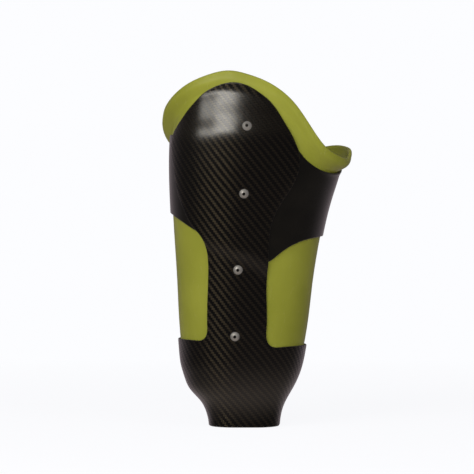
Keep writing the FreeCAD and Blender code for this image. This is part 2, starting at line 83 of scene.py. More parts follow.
FOOT_HEIGHT = 2.5 * MM            # the frame's skin is complete from here up
LATERAL = -math.pi / 2            # the side that the photograph shows
TOW = 2.05 * MM                   # width of a carbon tow
TWILL_LEAN = math.radians(-6)
RECESS_RADIUS = 1.45 * MM         # the hexagon socket in a screw's head
PAD_CLEARANCE = 0.3 * MM
PAD_CROWN = 3.0 * MM
PAD_SHOULDER = 6.0 * MM
PAD_COLUMNS = 120
PAD_SIDE_ROWS = 25
PAD_SHOULDER_ROWS = 8
PAD_CROWN_ROWS = 16
PAD_LEVELS = 24                   # heights at which the CAD pad's wall is read
PAD_END = 0.4 * MM                # from the pad's top and bottom to the nearest of them
PAD_FILL_PASSES = 60
CAMERA_DISTANCE = 2.0
VIEW_WIDTH = 0.50244              # what the picture spans at the socket's axis
VIEW_CENTRE = (-0.00848, 0.19886)  # X and Z in the middle of the picture
SENSOR_WIDTH = 36                 # mm, as in lens lengths
FLOOR_REACH = 6.0
FLOOR_DROP = 0.2 * MM             # below the base plate
PAPER_WHITE = (0.975, 0.98, 1.0)


# ---------------------------------------------------------------- reading a CAD shell

def merged(node):
    """The CAD node's mesh with its shared corners joined."""
    bm = bmesh.new()
    bm.from_mesh(nodes[node].data)
    bmesh.ops.remove_doubles(bm, verts=bm.verts, dist=0.002 * MM)
    bm.normal_update()
    return bm


def outer_radii(bm, heights, facing=0.35):
    """Radius of the outermost skin on a grid of heights and angles; NaN where it is open."""
    tree = BVHTree.FromBMesh(bm)
    radii = np.full((len(heights), ANGLE_COUNT), np.nan)
    for i in range(ANGLE_COUNT):
        angle = 2 * math.pi * i / ANGLE_COUNT
        out = Vector((math.cos(angle), math.sin(angle), 0))
        start = out * RAY_START
        for j, z in enumerate(heights):
            hit, normal, _, distance = tree.ray_cast(start + Vector((0, 0, z)), -out, RAY_START)
            if hit is not None and normal.dot(out) > facing:
                radii[j, i] = RAY_START - distance
    return radii


def blur(field):
    """One light smoothing of a grid, around the turn and up the heights."""
    field = (np.roll(field, 1, 1) + 2 * field + np.roll(field, -1, 1)) / 4
    padded = np.vstack([2 * field[:1] - field[1:2], field, 2 * field[-1:] - field[-2:-1]])
    return (padded[:-2] + 2 * padded[1:-1] + padded[2:]) / 4


def smooth(field, passes):
    for _ in range(passes):
        field = blur(field)
    return field


def fill_open(field, passes):
    """Fills the open cells from their neighbours, leaving the rest as it is."""
    known = ~np.isnan(field)
    filled = np.where(known, field, np.nanmean(field))
    for _ in range(passes):
        filled = np.where(known, field, blur(filled))
    return filled


class Skin:
    """A smooth outward-facing surface, as a radius over angle and height."""

    def __init__(self, heights, radii):
        self.low = heights[0]
        self.step = heights[1] - heights[0]
        self.radii = radii
        turn = 2 * math.pi / ANGLE_COUNT
        around = (np.roll(radii, -1, 1) - np.roll(radii, 1, 1)) / (2 * turn)
        upward = np.gradient(radii, self.step, axis=0)
        # lengths along the surface, from the lateral line and from the lowest row
        first = int(round((LATERAL % (2 * math.pi)) / turn))
        lengths = np.roll(np.sqrt(radii ** 2 + around ** 2) * turn, -first, 1)
        middles = (lengths + np.roll(lengths, -1, 1)) / 2
        self.girth = middles.sum(1)
        along = np.cumsum(middles, 1) - middles
        self.across = np.roll(along, first, 1)
        self.first = first
        rise = np.sqrt(1 + upward ** 2) * self.step
        self.up = np.cumsum(rise, 0) - rise

    def sample(self, grid, angle, z, wrap=None):
        """The grid's value between its cells; wrap is what it gains over a whole turn."""
        turn = 2 * math.pi / ANGLE_COUNT
        a = np.mod(angle, 2 * math.pi) / turn
        h = np.clip((z - self.low) / self.step, 0, len(grid) - 1.001)
        i, j = a.astype(int) % ANGLE_COUNT, h.astype(int)
        fa, fh = a - np.floor(a), h - j
        k = (i + 1) % ANGLE_COUNT
        right0, right1 = grid[j, k], grid[j + 1, k]
        if wrap is not None:
            seam = k == self.first
            right0 = np.where(seam, right0 + wrap[j], right0)
            right1 = np.where(seam, right1 + wrap[j + 1], right1)
        lower = grid[j, i] * (1 - fa) + right0 * fa
        upper = grid[j + 1, i] * (1 - fa) + right1 * fa
        return lower * (1 - fh) + upper * fh

    def radius(self, angle, z):
        return self.sample(self.radii, angle, z)

    def points(self, angle, z):
        """Surface points, outward normals and the tangents around and up."""
        r = self.radius(angle, z)
        da, dz = math.radians(1.2), 1.6 * MM
        slope_a = (self.radius(angle + da, z) - self.radius(angle - da, z)) / (2 * da)
        slope_z = (self.radius(angle, z + dz) - self.radius(angle, z - dz)) / (2 * dz)
        c, s = np.cos(angle), np.sin(angle)
        point = np.stack([r * c, r * s, z], 1)
        around = np.stack([slope_a * c - r * s, slope_a * s + r * c, np.zeros_like(z)], 1)
        upward = np.stack([slope_z * c, slope_z * s, np.ones_like(z)], 1)
        around /= np.linalg.norm(around, axis=1)[:, None]
        upward /= np.linalg.norm(upward, axis=1)[:, None]
        normal = np.cross(around, upward)
        normal /= np.linalg.norm(normal, axis=1)[:, None]
        return point, normal, around, upward

    def cloth(self, angle, z):
        """Length around from the lateral line (within half the girth either way), length up, girth."""
        u = self.sample(self.across, angle, z, self.girth)
        girth = np.interp(z, self.low + self.step * np.arange(len(self.girth)), self.girth)
        v = self.sample(self.up, angle, z)
        return np.where(u > girth / 2, u - girth, u), v, girth


def skin_loops(bm, facing=0.4):
    """The largest outward-facing patch's edges: closed loops of points, with the patch on their left."""
    left = set()
    for face in bm.faces:
        centre = face.calc_center_median()
        out = Vector((centre.x, centre.y, 0)).normalized()
        if face.normal.dot(out) > facing:
            left.add(face)
    best, best_area = set(), 0
    while left:
        seed = left.pop()
        patch, queue = {seed}, [seed]
        while queue:
            for edge in queue.pop().edges:
                for other in edge.link_faces:
                    if other in left:
                        left.discard(other)
                        patch.add(other)
                        queue.append(other)
        area = sum(face.calc_area() for face in patch)
        if area > best_area:
            best, best_area = patch, area
    following = {}
    for face in bm.faces:       # in the mesh's order, so that the loops always start at the same corners
        for loop in face.loops if face in best else ():
            if not any(other in best for other in loop.edge.link_faces if other is not face):
                following.setdefault(loop.vert, []).append(loop.link_loop_next.vert)
    loops = []
    while following:
        start = next(iter(following))
        loop, vert = [], start
        while vert in following:
            loop.append(vert.co.copy())
            after = following[vert].pop()
            if not following[vert]:
                del following[vert]
            vert = after
            if vert is start:
                break
        loops.append(loop)
    return loops


def loop_length(loop):
    return sum((loop[i] - loop[i - 1]).length for i in range(len(loop)))


def tidy_loop(loop):
    """The loop as evenly spaced, lightly smoothed angles and heights and its whole turn, or None."""
    xyz = np.array([tuple(p) for p in loop])
    angle = np.unwrap(np.arctan2(xyz[:, 1], xyz[:, 0]))
    closing = angle[0] + 2 * math.pi * round((angle[-1] - angle[0]) / (2 * math.pi))
    angle = np.append(angle, closing)
    z = np.append(xyz[:, 2], xyz[0, 2])
    metric = np.sqrt((np.diff(angle) * FLAT_RADIUS) ** 2 + np.diff(z) ** 2)
    keep = np.append(True, metric > 1e-7)
    angle, z = angle[keep], z[keep]
    length = np.append(0, np.cumsum(np.sqrt((np.diff(angle) * FLAT_RADIUS) ** 2 + np.diff(z) ** 2)))
    if length[-1] < SLIVER:
        return None
    step = min(LOOP_STEP, length[-1] / 40)
    count = max(12, int(length[-1] / (step / 3)))
    at = np.linspace(0, length[-1], count, endpoint=False)
    a, h = np.interp(at, length, angle), np.interp(at, length, z)
    shift = closing - angle[0]
    for _ in range(LOOP_PASSES if length[-1] > SMALL_LOOP else 0):
        before = np.append(a[-1] - shift, a[:-1])
        after = np.append(a[1:], a[0] + shift)
        a = (before + 2 * a + after) / 4
        h = (np.roll(h, 1) + 2 * h + np.roll(h, -1)) / 4
    return a[::3], h[::3], shift


def disc_axis(node, extent=0):
    """Centre of a round CAD node and its shortest (0) or longest (2) direction, away from the Z axis."""
    points = np.array([tuple(v.co) for v in nodes[node].data.vertices])
    centre = (points.max(0) + points.min(0)) / 2
    axis = np.linalg.eigh(np.cov((points - points.mean(0)).T))[1][:, extent]
    return centre, axis * np.sign(axis[:2] @ centre[:2])


def hole_loop(node, skin):
    """The clockwise loop where a round hole about the node's axis meets the skin."""
    centre, axis = disc_axis(node)
    side = np.cross(axis, (0, 0, 1))
    side /= np.linalg.norm(side)
    up = np.cross(side, axis)
    turn = -2 * np.pi * np.arange(HOLE_POINTS) / HOLE_POINTS
    start = centre + HOLE_RADIUS * (np.cos(turn)[:, None] * -side + np.sin(turn)[:, None] * up)
    along = np.zeros(HOLE_POINTS)
    for _ in range(12):         # slides each point along the axis until it lies on the skin
        p = start + along[:, None] * axis
        angle = np.arctan2(p[:, 1], p[:, 0])
        along += (skin.radius(angle, p[:, 2]) - np.hypot(p[:, 0], p[:, 1])) / np.hypot(*axis[:2])
    angle = np.unwrap(angle)
    return angle, p[:, 2], 0.0


# ---------------------------------------------------------------- building a laminate shell

def shell_loops(node, skin, holes):
    """The shell's trimmed edges, each as angles, heights, whole turn and the radius it is rounded to."""
    bm = merged(node)
    raw = skin_loops(bm)
    bm.free()
    if holes:
        raw = [loop for loop in raw if loop_length(loop) > SMALL_LOOP]
    loops = [tidy_loop(loop) for loop in raw]
    loops = [(*loop, OUTER_ROUND) for loop in loops if loop is not None]
    return loops + [(*hole_loop(hole, skin), HOLE_ROUND) for hole in holes]


def loop_walls(loops):
    """The pairs of neighbours along the loops, numbered through all of them."""
    walls = []
    for a, *_ in loops:
        first = len(walls)
        walls += [(first + i, first + (i + 1) % len(a)) for i in range(len(a))]
    return walls


def edge_finder(loops, walls, skin):
    """A search tree of points along the trimmed edges."""
    edge_a = np.concatenate([loop[0] for loop in loops])
    edge_z = np.concatenate([loop[1] for loop in loops])
    point = skin.points(edge_a, edge_z)[0]
    following = point[[b for _, b in walls]]
    tree = KDTree(3 * len(point))
    for i in range(len(point)):
        for part in range(3):
            tree.insert(point[i] + (following[i] - point[i]) * part / 3, i)
    tree.balance()
    return tree


def edge_rows(loops, finder, skin):
    """Points in rows inside the loops: angle, height, depth, edge radius, and the way out as (around, up)."""
    rows = []
    for depth in [row * MM for row in EDGE_ROWS]:
        for a, z, shift, edge_round in loops:
            before_a, after_a = np.append(a[-1] - shift, a[:-1]), np.append(a[1:], a[0] + shift)
            before_z, after_z = np.roll(z, 1), np.roll(z, -1)
            r = skin.radius(a, z)
            steep = np.sqrt(1 + ((skin.radius(a, z + MM) - skin.radius(a, z - MM)) / (2 * MM)) ** 2)
            du, dv = (after_a - before_a) * r, (after_z - before_z) * steep
            size = np.hypot(du, dv)
            left_u, left_v = -dv / size, du / size
            ring_a = a + depth * left_u / r
            ring_z = z + depth * left_v / steep
            keep = np.ones(len(a), dtype=bool)
            if depth:
                places = skin.points(ring_a, ring_z)[0]
                keep = np.array([finder.find(p)[2] > ROW_CLEARANCE * depth for p in places])
            count = keep.sum()
            rows.append((ring_a[keep], ring_z[keep], np.full(count, depth), np.full(count, edge_round),
                         np.stack([-left_u, -left_v], 1)[keep]))
    return [np.concatenate(field) for field in zip(*rows)]


def interior_grid(edge_a, edge_z):
    """Staggered points over the whole height, clear of the points given."""
    tree = KDTree(len(edge_a))
    for i, (a, z) in enumerate(zip(edge_a, edge_z)):
        tree.insert((FLAT_RADIUS * math.cos(a), FLAT_RADIUS * math.sin(a), z), i)
    tree.balance()
    grid = []
    for j in range(int((edge_z.max() - edge_z.min()) / GRID_STEP) + 1):
        z = edge_z.min() + j * GRID_STEP
        for i in range(GRID_ANGLES):
            a = 2 * math.pi * (i + 0.5 * (j % 2)) / GRID_ANGLES
            place = (FLAT_RADIUS * math.cos(a), FLAT_RADIUS * math.sin(a), z)
            if tree.find(place)[2] > GRID_CLEARANCE * GRID_STEP:
                grid.append((a, z))
    return np.array(grid).T


def inside_only(triangles, walls):
    """Drops the triangles outside the trimmed area: those reached from a trimmed edge on its right side."""
    walls = set(walls)
    by_edge = {}
    for t, tri in enumerate(triangles):
        for i in range(3):
            by_edge.setdefault((tri[i], tri[(i + 1) % 3]), []).append(t)
    outside = [t for (b, a) in walls for t in by_edge.get((a, b), [])]
    bad, queue = set(outside), list(outside)
    while queue:
        tri = triangles[queue.pop()]
        for i in range(3):
            a, b = tri[i], tri[(i + 1) % 3]
            if (a, b) in walls or (b, a) in walls:
                continue
            for other in by_edge.get((b, a), []):
                if other not in bad:
                    bad.add(other)
                    queue.append(other)
    return [tri for t, tri in enumerate(triangles) if t not in bad]


def triangulate(angle, z, walls):
    """Triangles over the trimmed area, found on a flat map in which the tube opens into a ring."""
    spread = np.exp(-z / FLAT_RADIUS)
    flat = [Vector((s * math.cos(a), s * math.sin(a))) for s, a in zip(spread, angle)]
    result = delaunay_2d_cdt(flat, walls, [], 0, 1e-9)
    origin = [ids[0] if ids else -1 for ids in result[3]]
    triangles = [[origin[i] for i in face] for face in result[2]]
    return inside_only([tri for tri in triangles if min(tri) >= 0], walls)


def rounded_sheet(point, normal, way_out, depth, edge_round, base, sign):
    """One face of the shell, `base` off its skin, turning over by a quarter circle at its edges."""
    t = np.clip(1 - depth / edge_round, 0, 1)
    drop = edge_round * (1 - np.sqrt(1 - t ** 2))
    place = point + normal * (base - sign * drop)[:, None]
    facing = sign * normal * np.sqrt(1 - t ** 2)[:, None] + way_out * t[:, None]
    return place, facing


def lay_cloth(mesh, u, v, girth):
    """UVs in metres of cloth, laid from the lateral line; the medial half is a second cloth."""
    layer = mesh.uv_layers.new(name="weave")
    corners = np.empty(len(mesh.loops), dtype=int)
    mesh.loops.foreach_get("vertex_index", corners)
    flat_uv = np.empty((len(corners), 2))
    for polygon in mesh.polygons:
        part = slice(polygon.loop_start, polygon.loop_start + polygon.loop_total)
        ids = corners[part]
        us = u[ids]
        if np.abs(us).mean() > girth[ids[0]] / 4:
            us = np.mod(us, girth[ids]) - girth[ids] / 2
        flat_uv[part, 0] = us
        flat_uv[part, 1] = v[ids]
    layer.data.foreach_set("uv", flat_uv.ravel())


def make_shell(name, node, skin, material, holes=()):
    """A shell of even thickness inside `skin`, trimmed like the CAD node, with rounded edges."""
    loops = shell_loops(node, skin, holes)
    walls = loop_walls(loops)
    angle, z, depth, outer_round, toward = edge_rows(loops, edge_finder(loops, walls, skin), skin)
    grid_a, grid_z = interior_grid(angle, z)
    count = len(grid_a)
    angle, z = np.append(angle, grid_a), np.append(z, grid_z)
    depth = np.append(depth, np.full(count, 1.0))
    outer_round = np.append(outer_round, np.full(count, OUTER_ROUND))
    toward = np.vstack([toward, np.zeros((count, 2))])
    triangles = triangulate(angle, z, walls)

    point, normal, around, upward = skin.points(angle, z)
    way_out = around * toward[:, :1] + upward * toward[:, 1:]
    top, top_normal = rounded_sheet(point, normal, way_out, depth, outer_round, 0.0, 1)
    inner_round = np.minimum(outer_round, INNER_ROUND)
    under, under_normal = rounded_sheet(point, normal, way_out, depth, inner_round, -LAMINATE, -1)

    used = sorted({i for tri in triangles for i in tri})
    index = {old: new for new, old in enumerate(used)}
    half = len(used)
    faces = [[index[i] for i in tri] for tri in triangles]
    faces += [[half + index[i] for i in reversed(tri)] for tri in triangles]
    trimmed = [max(depth[tri]) < EDGE_FINISH for tri in triangles] * 2
    for a, b in walls:
        if a in index and b in index:
            faces.append([index[a], half + index[a], half + index[b], index[b]])
            trimmed.append(True)
    verts = np.vstack([top[used], under[used]])
    normals = np.vstack([top_normal[used], under_normal[used]])
    normals /= np.linalg.norm(normals, axis=1)[:, None]
    mesh = bpy.data.meshes.new(name)
    mesh.from_pydata([tuple(v) for v in verts], [], faces)
    mesh.polygons.foreach_set("use_smooth", [True] * len(mesh.polygons))
    lay_cloth(mesh, *(np.tile(field[used], 2) for field in skin.cloth(angle, z)))
    mesh.normals_split_custom_set_from_vertices([tuple(n) for n in normals])
    mesh.materials.append(material)
    mesh.materials.append(finishes["cut_edge"])
    mesh.polygons.foreach_set("material_index", [int(edge) for edge in trimmed])
    piece = bpy.data.objects.new(name, mesh)
    bpy.context.scene.collection.objects.link(piece)
    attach(piece, "socket")
    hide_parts(node)


# ---------------------------------------------------------------- the sampled skins

row_heights = np.arange(-2 * HEIGHT_STEP, cad_bounds[1][2] + 4 * HEIGHT_STEP, HEIGHT_STEP)


def read_skins():
    """The laminates' outer skins; where one is cut away it follows the inner socket's shape."""
    bm = merged("inner_socket")
    base = outer_radii(bm, row_heights)
    bm.free()
    base = fill_open(base, FILL_PASSES)
    skins = {}
    for node in ("carbon_frame", "proximal_band"):
        bm = merged(node)
        field = outer_radii(bm, row_heights)
        bm.free()
        whole = base + fill_open(field - base, FILL_PASSES)
        if node == "carbon_frame":
            foot = int(np.argmax(row_heights > FOOT_HEIGHT))
            whole[:foot] = whole[foot]
        skins[node] = Skin(row_heights, smooth(whole, SKIN_PASSES))
    return skins


skins = read_skins()

# ---------------------------------------------------------------- materials

class Nodes:
    """A short way to build a material's node tree. A socket or a plain value may be given as any input."""

    def __init__(self, name):
        self.material = bpy.data.materials.new(name)
        self.material.use_nodes = True
        self.tree = self.material.node_tree
        self.shader = self.tree.nodes["Principled BSDF"]

    def add(self, kind, inputs=(), output=0, **settings):
        node = self.tree.nodes.new(kind)
        for key, value in settings.items():
            setattr(node, key, value)
        pairs = inputs.items() if isinstance(inputs, dict) else enumerate(inputs)
        for key, value in pairs:
            self.put(node.inputs[key], value)
        return node.outputs[output]

    def put(self, socket, value):
        if isinstance(value, bpy.types.NodeSocket):
            self.tree.links.new(value, socket)
        elif value is not None:
            if socket.type == "RGBA" and len(value) == 3:
                value = (*value, 1)
            socket.default_value = value

    def set(self, **values):
        """Sets the shader's inputs, named with _ for a space, and gives the material."""
        for key, value in values.items():
            self.put(self.shader.inputs[key.replace("_", " ")], value)
        return self.material

    def math(self, operation, a, b=None):
        return self.add("ShaderNodeMath", (a, b), operation=operation)

    def vector(self, operation, a, b=None, output=0):
        return self.add("ShaderNodeVectorMath", (a, b), output, operation=operation)

    def split(self, vector):
        node = self.tree.nodes.new("ShaderNodeSeparateXYZ")
        self.put(node.inputs[0], vector)
        return node.outputs[0], node.outputs[1], node.outputs[2]

    def join(self, x, y, z=0.0):
        return self.add("ShaderNodeCombineXYZ", (x, y, z))

    def noise(self, vector, scale, detail=2.0, roughness=0.5, distortion=0.0, output=0):
        return self.add("ShaderNodeTexNoise", {"Vector": vector, "Scale": scale, "Detail": detail,
                                               "Roughness": roughness, "Distortion": distortion}, output)

    def ramp(self, factor, low, high, out_low=0.0, out_high=1.0):
        return self.add("ShaderNodeMapRange", (factor, low, high, out_low, out_high), clamp=True)

    def blend(self, factor, a, b):
        node = self.tree.nodes.new("ShaderNodeMix")
        node.data_type = "RGBA"
        self.put(node.inputs["Factor"], factor)
        colours = [socket for socket in node.inputs if socket.type == "RGBA"]
        self.put(colours[0], a)
        self.put(colours[1], b)
        return [socket for socket in node.outputs if socket.type == "RGBA"][0]

    def bump(self, height, distance, strength):
        return self.add("ShaderNodeBump", {"Height": height, "Distance": distance, "Strength": strength})

    def place(self):
        """The surface point in metres; every piece's mesh is in the row frame."""
        return self.add("ShaderNodeTexCoord", output=3)


def carbon(name, tow, lean, contrast, coat_roughness):
    """Carbon cloth under clear resin: 2x2 twill of the given tow width, turned by lean."""
    n = Nodes(name)
    cloth = n.add("ShaderNodeUVMap", uv_map="weave")
    # the cloth wanders a little, as it does when laid by hand
    wander = n.vector("SUBTRACT", n.noise(cloth, 45.0, 1.0, output=1), (0.5, 0.5, 0.5))
    cloth = n.vector("ADD", cloth, n.vector("MULTIPLY", wander, (1.1 * MM, 1.1 * MM, 0.0)))
    u, v, _ = n.split(cloth)
    c, s = math.cos(lean) / tow, math.sin(lean) / tow
    across = n.math("ADD", n.math("MULTIPLY", u, c), n.math("MULTIPLY", v, s))
    along = n.math("SUBTRACT", n.math("MULTIPLY", v, c), n.math("MULTIPLY", u, s))
    column, row = n.math("FLOOR", across), n.math("FLOOR", along)
    # a warp tow shows for two weft tows, then dives under two
    warp_run = n.math("FLOORED_MODULO", n.math("ADD", along, column), 4.0)
    weft_run = n.math("FLOORED_MODULO", n.math("ADD", across, row), 4.0)
    warp_up = n.math("LESS_THAN", n.math("FLOORED_MODULO", n.math("ADD", column, row), 4.0), 2.0)
    weft_up = n.math("SUBTRACT", 1.0, warp_up)

    def arch(value, middle, half, power):
        away = n.math("ABSOLUTE", n.math("DIVIDE", n.math("SUBTRACT", value, middle), half))
        return n.math("SUBTRACT", 1.0, n.math("POWER", n.math("MINIMUM", away, 1.0), power))

    warp = n.math("MULTIPLY", arch(n.math("FRACT", across), 0.5, 0.5, 3.0), arch(warp_run, 1.0, 1.0, 3.0))
    weft = n.math("MULTIPLY", arch(n.math("FRACT", along), 0.5, 0.5, 3.0), arch(weft_run, 3.0, 1.0, 3.0))
    height = n.math("ADD", n.math("MULTIPLY", warp, warp_up), n.math("MULTIPLY", weft, weft_up))
    # filaments, long in the direction of the tow that shows
    warp_hair = n.noise(n.join(n.math("MULTIPLY", across, 22.0), n.math("MULTIPLY", along, 0.9)), 1.0, 2.0)
    weft_hair = n.noise(n.join(n.math("MULTIPLY", across, 0.9), n.math("MULTIPLY", along, 22.0), 7.0),
                        1.0, 2.0)
    hair = n.math("ADD", n.math("MULTIPLY", warp_hair, warp_up), n.math("MULTIPLY", weft_hair, weft_up))
    tone = n.noise(n.join(column, n.math("MULTIPLY", along, 0.05)), 3.1, 1.0)
    # painted highlight and shade: the weft tows are painted lighter than the warp, and each tow's crown
    # lighter than its sides, as the light falls on them
    shine = n.math("MULTIPLY", n.math("ADD", 0.35, n.math("MULTIPLY", height, 0.65)),
                   n.ramp(hair, 0.3, 0.7, 0.7, 1.3))
    shine = n.math("MULTIPLY", shine, n.ramp(tone, 0.3, 0.7, 0.85, 1.15))
    lit = n.math("MULTIPLY", shine, n.math("ADD", n.math("MULTIPLY", weft_up, contrast), 0.14))
    colour = n.blend(lit, (0.0010, 0.0009, 0.0006), (0.052, 0.042, 0.026))
    turn = n.math("MULTIPLY", weft_up, 0.25)
    fibre_roughness = n.ramp(hair, 0.3, 0.7, 0.46, 0.56)
    grain = n.math("ADD", height, n.math("MULTIPLY", hair, 0.35))
    fibre_normal = n.bump(grain, 0.00008, 0.55)
    resin = n.noise(n.place(), 160.0, 2.0)
    ripple = n.noise(n.place(), 38.0, 1.0)
    surface = n.math("ADD", n.math("MULTIPLY", resin, 0.25),
                     n.math("ADD", ripple, n.math("MULTIPLY", height, 0.05)))
    coat_normal = n.bump(surface, 0.00022, 0.45)
    tangent = n.add("ShaderNodeTangent", direction_type="UV_MAP", uv_map="weave")
    return n.set(
        Base_Color=colour, Metallic=1.0, Roughness=fibre_roughness, Normal=fibre_normal,
        Anisotropic=0.88, Anisotropic_Rotation=turn, Tangent=tangent,
        Coat_Weight=1.0, Coat_Roughness=coat_roughness, Coat_IOR=1.5, Coat_Normal=coat_normal)


def flexible_socket():
    """Coloured flexible thermoplastic, thermoformed: satin, a little cloudy, faint draw marks and scuffs."""
    n = Nodes("flexible_socket")
    p = n.place()
    cloud = n.noise(p, 14.0, 3.0)
    fine = n.noise(p, 420.0, 3.0, 0.6)
    draw = n.noise(n.vector("MULTIPLY", p, (1.0, 1.0, 0.12)), 90.0, 2.0)
    scuff = n.noise(n.vector("MULTIPLY", p, (1.0, 1.0, 0.35)), 240.0, 4.0, 0.7, 0.6)
    scuff = n.ramp(scuff, 0.60, 0.72)
    colour = n.blend(n.ramp(cloud, 0.3, 0.7), (0.206, 0.218, 0.026), (0.252, 0.264, 0.036))
    colour = n.blend(n.math("MULTIPLY", scuff, 0.14), colour, (0.42, 0.41, 0.20))
    rough = n.math("ADD", n.ramp(draw, 0.35, 0.65, 0.36, 0.46), n.math("MULTIPLY", scuff, 0.12))
    height = n.math("ADD", n.math("MULTIPLY", fine, 0.30),
                    n.math("ADD", n.math("MULTIPLY", draw, 0.8), cloud))
    return n.set(Base_Color=colour, Roughness=rough, Normal=n.bump(height, 0.00025, 0.35), IOR=1.46,
                 Specular_IOR_Level=0.24, Subsurface_Weight=0.12, Subsurface_Radius=(0.6, 0.6, 0.15),
                 Subsurface_Scale=0.004)


def metal(name, colour, roughness, spread, grain_scale, stretch=(1, 1, 1), metallic=1.0, recess=None):
    """Metal with a fine grain and faint smears; recess is the point and axis of a hexagon socket whose inside
    is painted dark as shade.
    """
    n = Nodes(name)
    p = n.place()
    grain = n.noise(n.vector("MULTIPLY", p, stretch), grain_scale, 3.0, 0.6)
    smear = n.noise(p, 160.0, 3.0, 0.6)
    base = n.blend(n.ramp(smear, 0.3, 0.7), tuple(v * 0.82 for v in colour), colour)
    rough = n.ramp(grain, 0.3, 0.7, roughness - spread, roughness + spread)
    if recess:
        centre, axis = recess
        arm = n.vector("SUBTRACT", p, tuple(centre))
        away = n.vector("LENGTH", n.vector("CROSS_PRODUCT", arm, tuple(axis)), output=1)
        # painted shade: the inside of the hexagon socket is painted near black, where shade falls in the
        # recess
        dark = n.ramp(away, RECESS_RADIUS, RECESS_RADIUS + 0.3 * MM, 1.0, 0.0)
        base = n.blend(dark, base, (0.012, 0.011, 0.009))
    return n.set(Base_Color=base, Metallic=metallic, Roughness=rough, Normal=n.bump(grain, 0.00003, 0.5))


def moulded(name, dark, light, roughness, grain_scale, depth, **more):
    """Moulded plastic, rubber or foam with a fine grain, clouded colour and rubbed patches."""
    n = Nodes(name)
    p = n.place()
    grain = n.noise(p, grain_scale, 3.0, 0.6)
    cloud = n.noise(p, 60.0, 3.0)
    wear = n.ramp(n.noise(p, 210.0, 4.0, 0.65), 0.55, 0.7)
    base = n.blend(n.ramp(cloud, 0.3, 0.7), dark, light)
    rough = n.ramp(grain, 0.3, 0.7, roughness - 0.05, roughness + 0.07)
    rough = n.math("SUBTRACT", rough, n.math("MULTIPLY", wear, 0.08))
    return n.set(Base_Color=base, Roughness=rough, Normal=n.bump(grain, depth, 0.6), **more)


def foam(name, dark, light, cell, depth):
    """Foam: small rounded cells, with painted shade in the gaps between them."""
    n = Nodes(name)
    p = n.place()
    cells = n.add("ShaderNodeTexVoronoi", {"Vector": p, "Scale": 1 / cell})
    cloud = n.noise(p, 45.0, 3.0)
    # painted shade: the gaps between the cells are painted darker
    gap_shade = n.ramp(cells, 0.15, 0.6)
    base = n.blend(n.math("MULTIPLY", gap_shade, 0.5), light, dark)
    base = n.blend(n.math("MULTIPLY", n.ramp(cloud, 0.35, 0.7), 0.35), base, dark)
    return n.set(Base_Color=base, Roughness=n.ramp(cells, 0.1, 0.6, 0.82, 0.95),
                 Normal=n.bump(n.math("SUBTRACT", 1.0, cells), depth, 0.7))


twill = carbon("carbon_twill", TOW, TWILL_LEAN, 0.95, 0.24)
smooth_carbon = moulded("carbon_smooth", (0.0022, 0.0020, 0.0012), (0.0040, 0.0034, 0.0022), 0.34, 900.0,
                        0.00002, Specular_IOR_Level=0.2, Coat_Weight=0.7, Coat_Roughness=0.17)
finishes = {
    "cut_edge": moulded("cut_edge", (0.020, 0.018, 0.015), (0.034, 0.030, 0.026), 0.52, 1500.0, 0.00003),
    "flexible_socket": flexible_socket(),
    "soft_pad": foam("soft_pad", (0.10, 0.10, 0.11), (0.17, 0.17, 0.18), 0.7 * MM, 0.0001),
    "rigid_foam": foam("rigid_foam", (0.46, 0.36, 0.20), (0.58, 0.48, 0.30), 0.5 * MM, 0.0001),
    "plate_aluminium": metal("plate_aluminium", (0.60, 0.60, 0.62), 0.34, 0.07, 1400.0, (1.0, 0.04, 1.0)),
    "stainless_steel": metal("stainless_steel", (0.36, 0.35, 0.32), 0.50, 0.07, 2600.0),
    "black_rubber": moulded("black_rubber", (0.012, 0.012, 0.012), (0.020, 0.020, 0.020), 0.62, 1600.0,
                            0.00003),
    "valve_body": moulded("valve_body", (0.020, 0.020, 0.022), (0.032, 0.032, 0.034), 0.42, 1900.0, 0.00003),
    "valve_ring": metal("valve_ring", (0.33, 0.33, 0.35), 0.36, 0.06, 1800.0, (0.1, 1.0, 0.1), metallic=0.85),
    "valve_button": moulded("valve_button", (0.42, 0.06, 0.04), (0.50, 0.08, 0.05), 0.38, 1900.0, 0.00002),
}


def finish_cad_nodes():
    """Gives every CAD node its finish; each screw has its own, with painted shade in the hexagon recess on
    its axis.
    """
    for node, item in nodes.items():
        for slot in item.material_slots:
            if "screw" in node:
                slot.material = metal(node, (0.40, 0.385, 0.36), 0.48, 0.06, 2600.0, metallic=0.7,
                                      recess=disc_axis(node, 2))
            else:
                key = slot.material.name.split(".")[0]
                slot.material = finishes.get(key, finishes["black_rubber"])


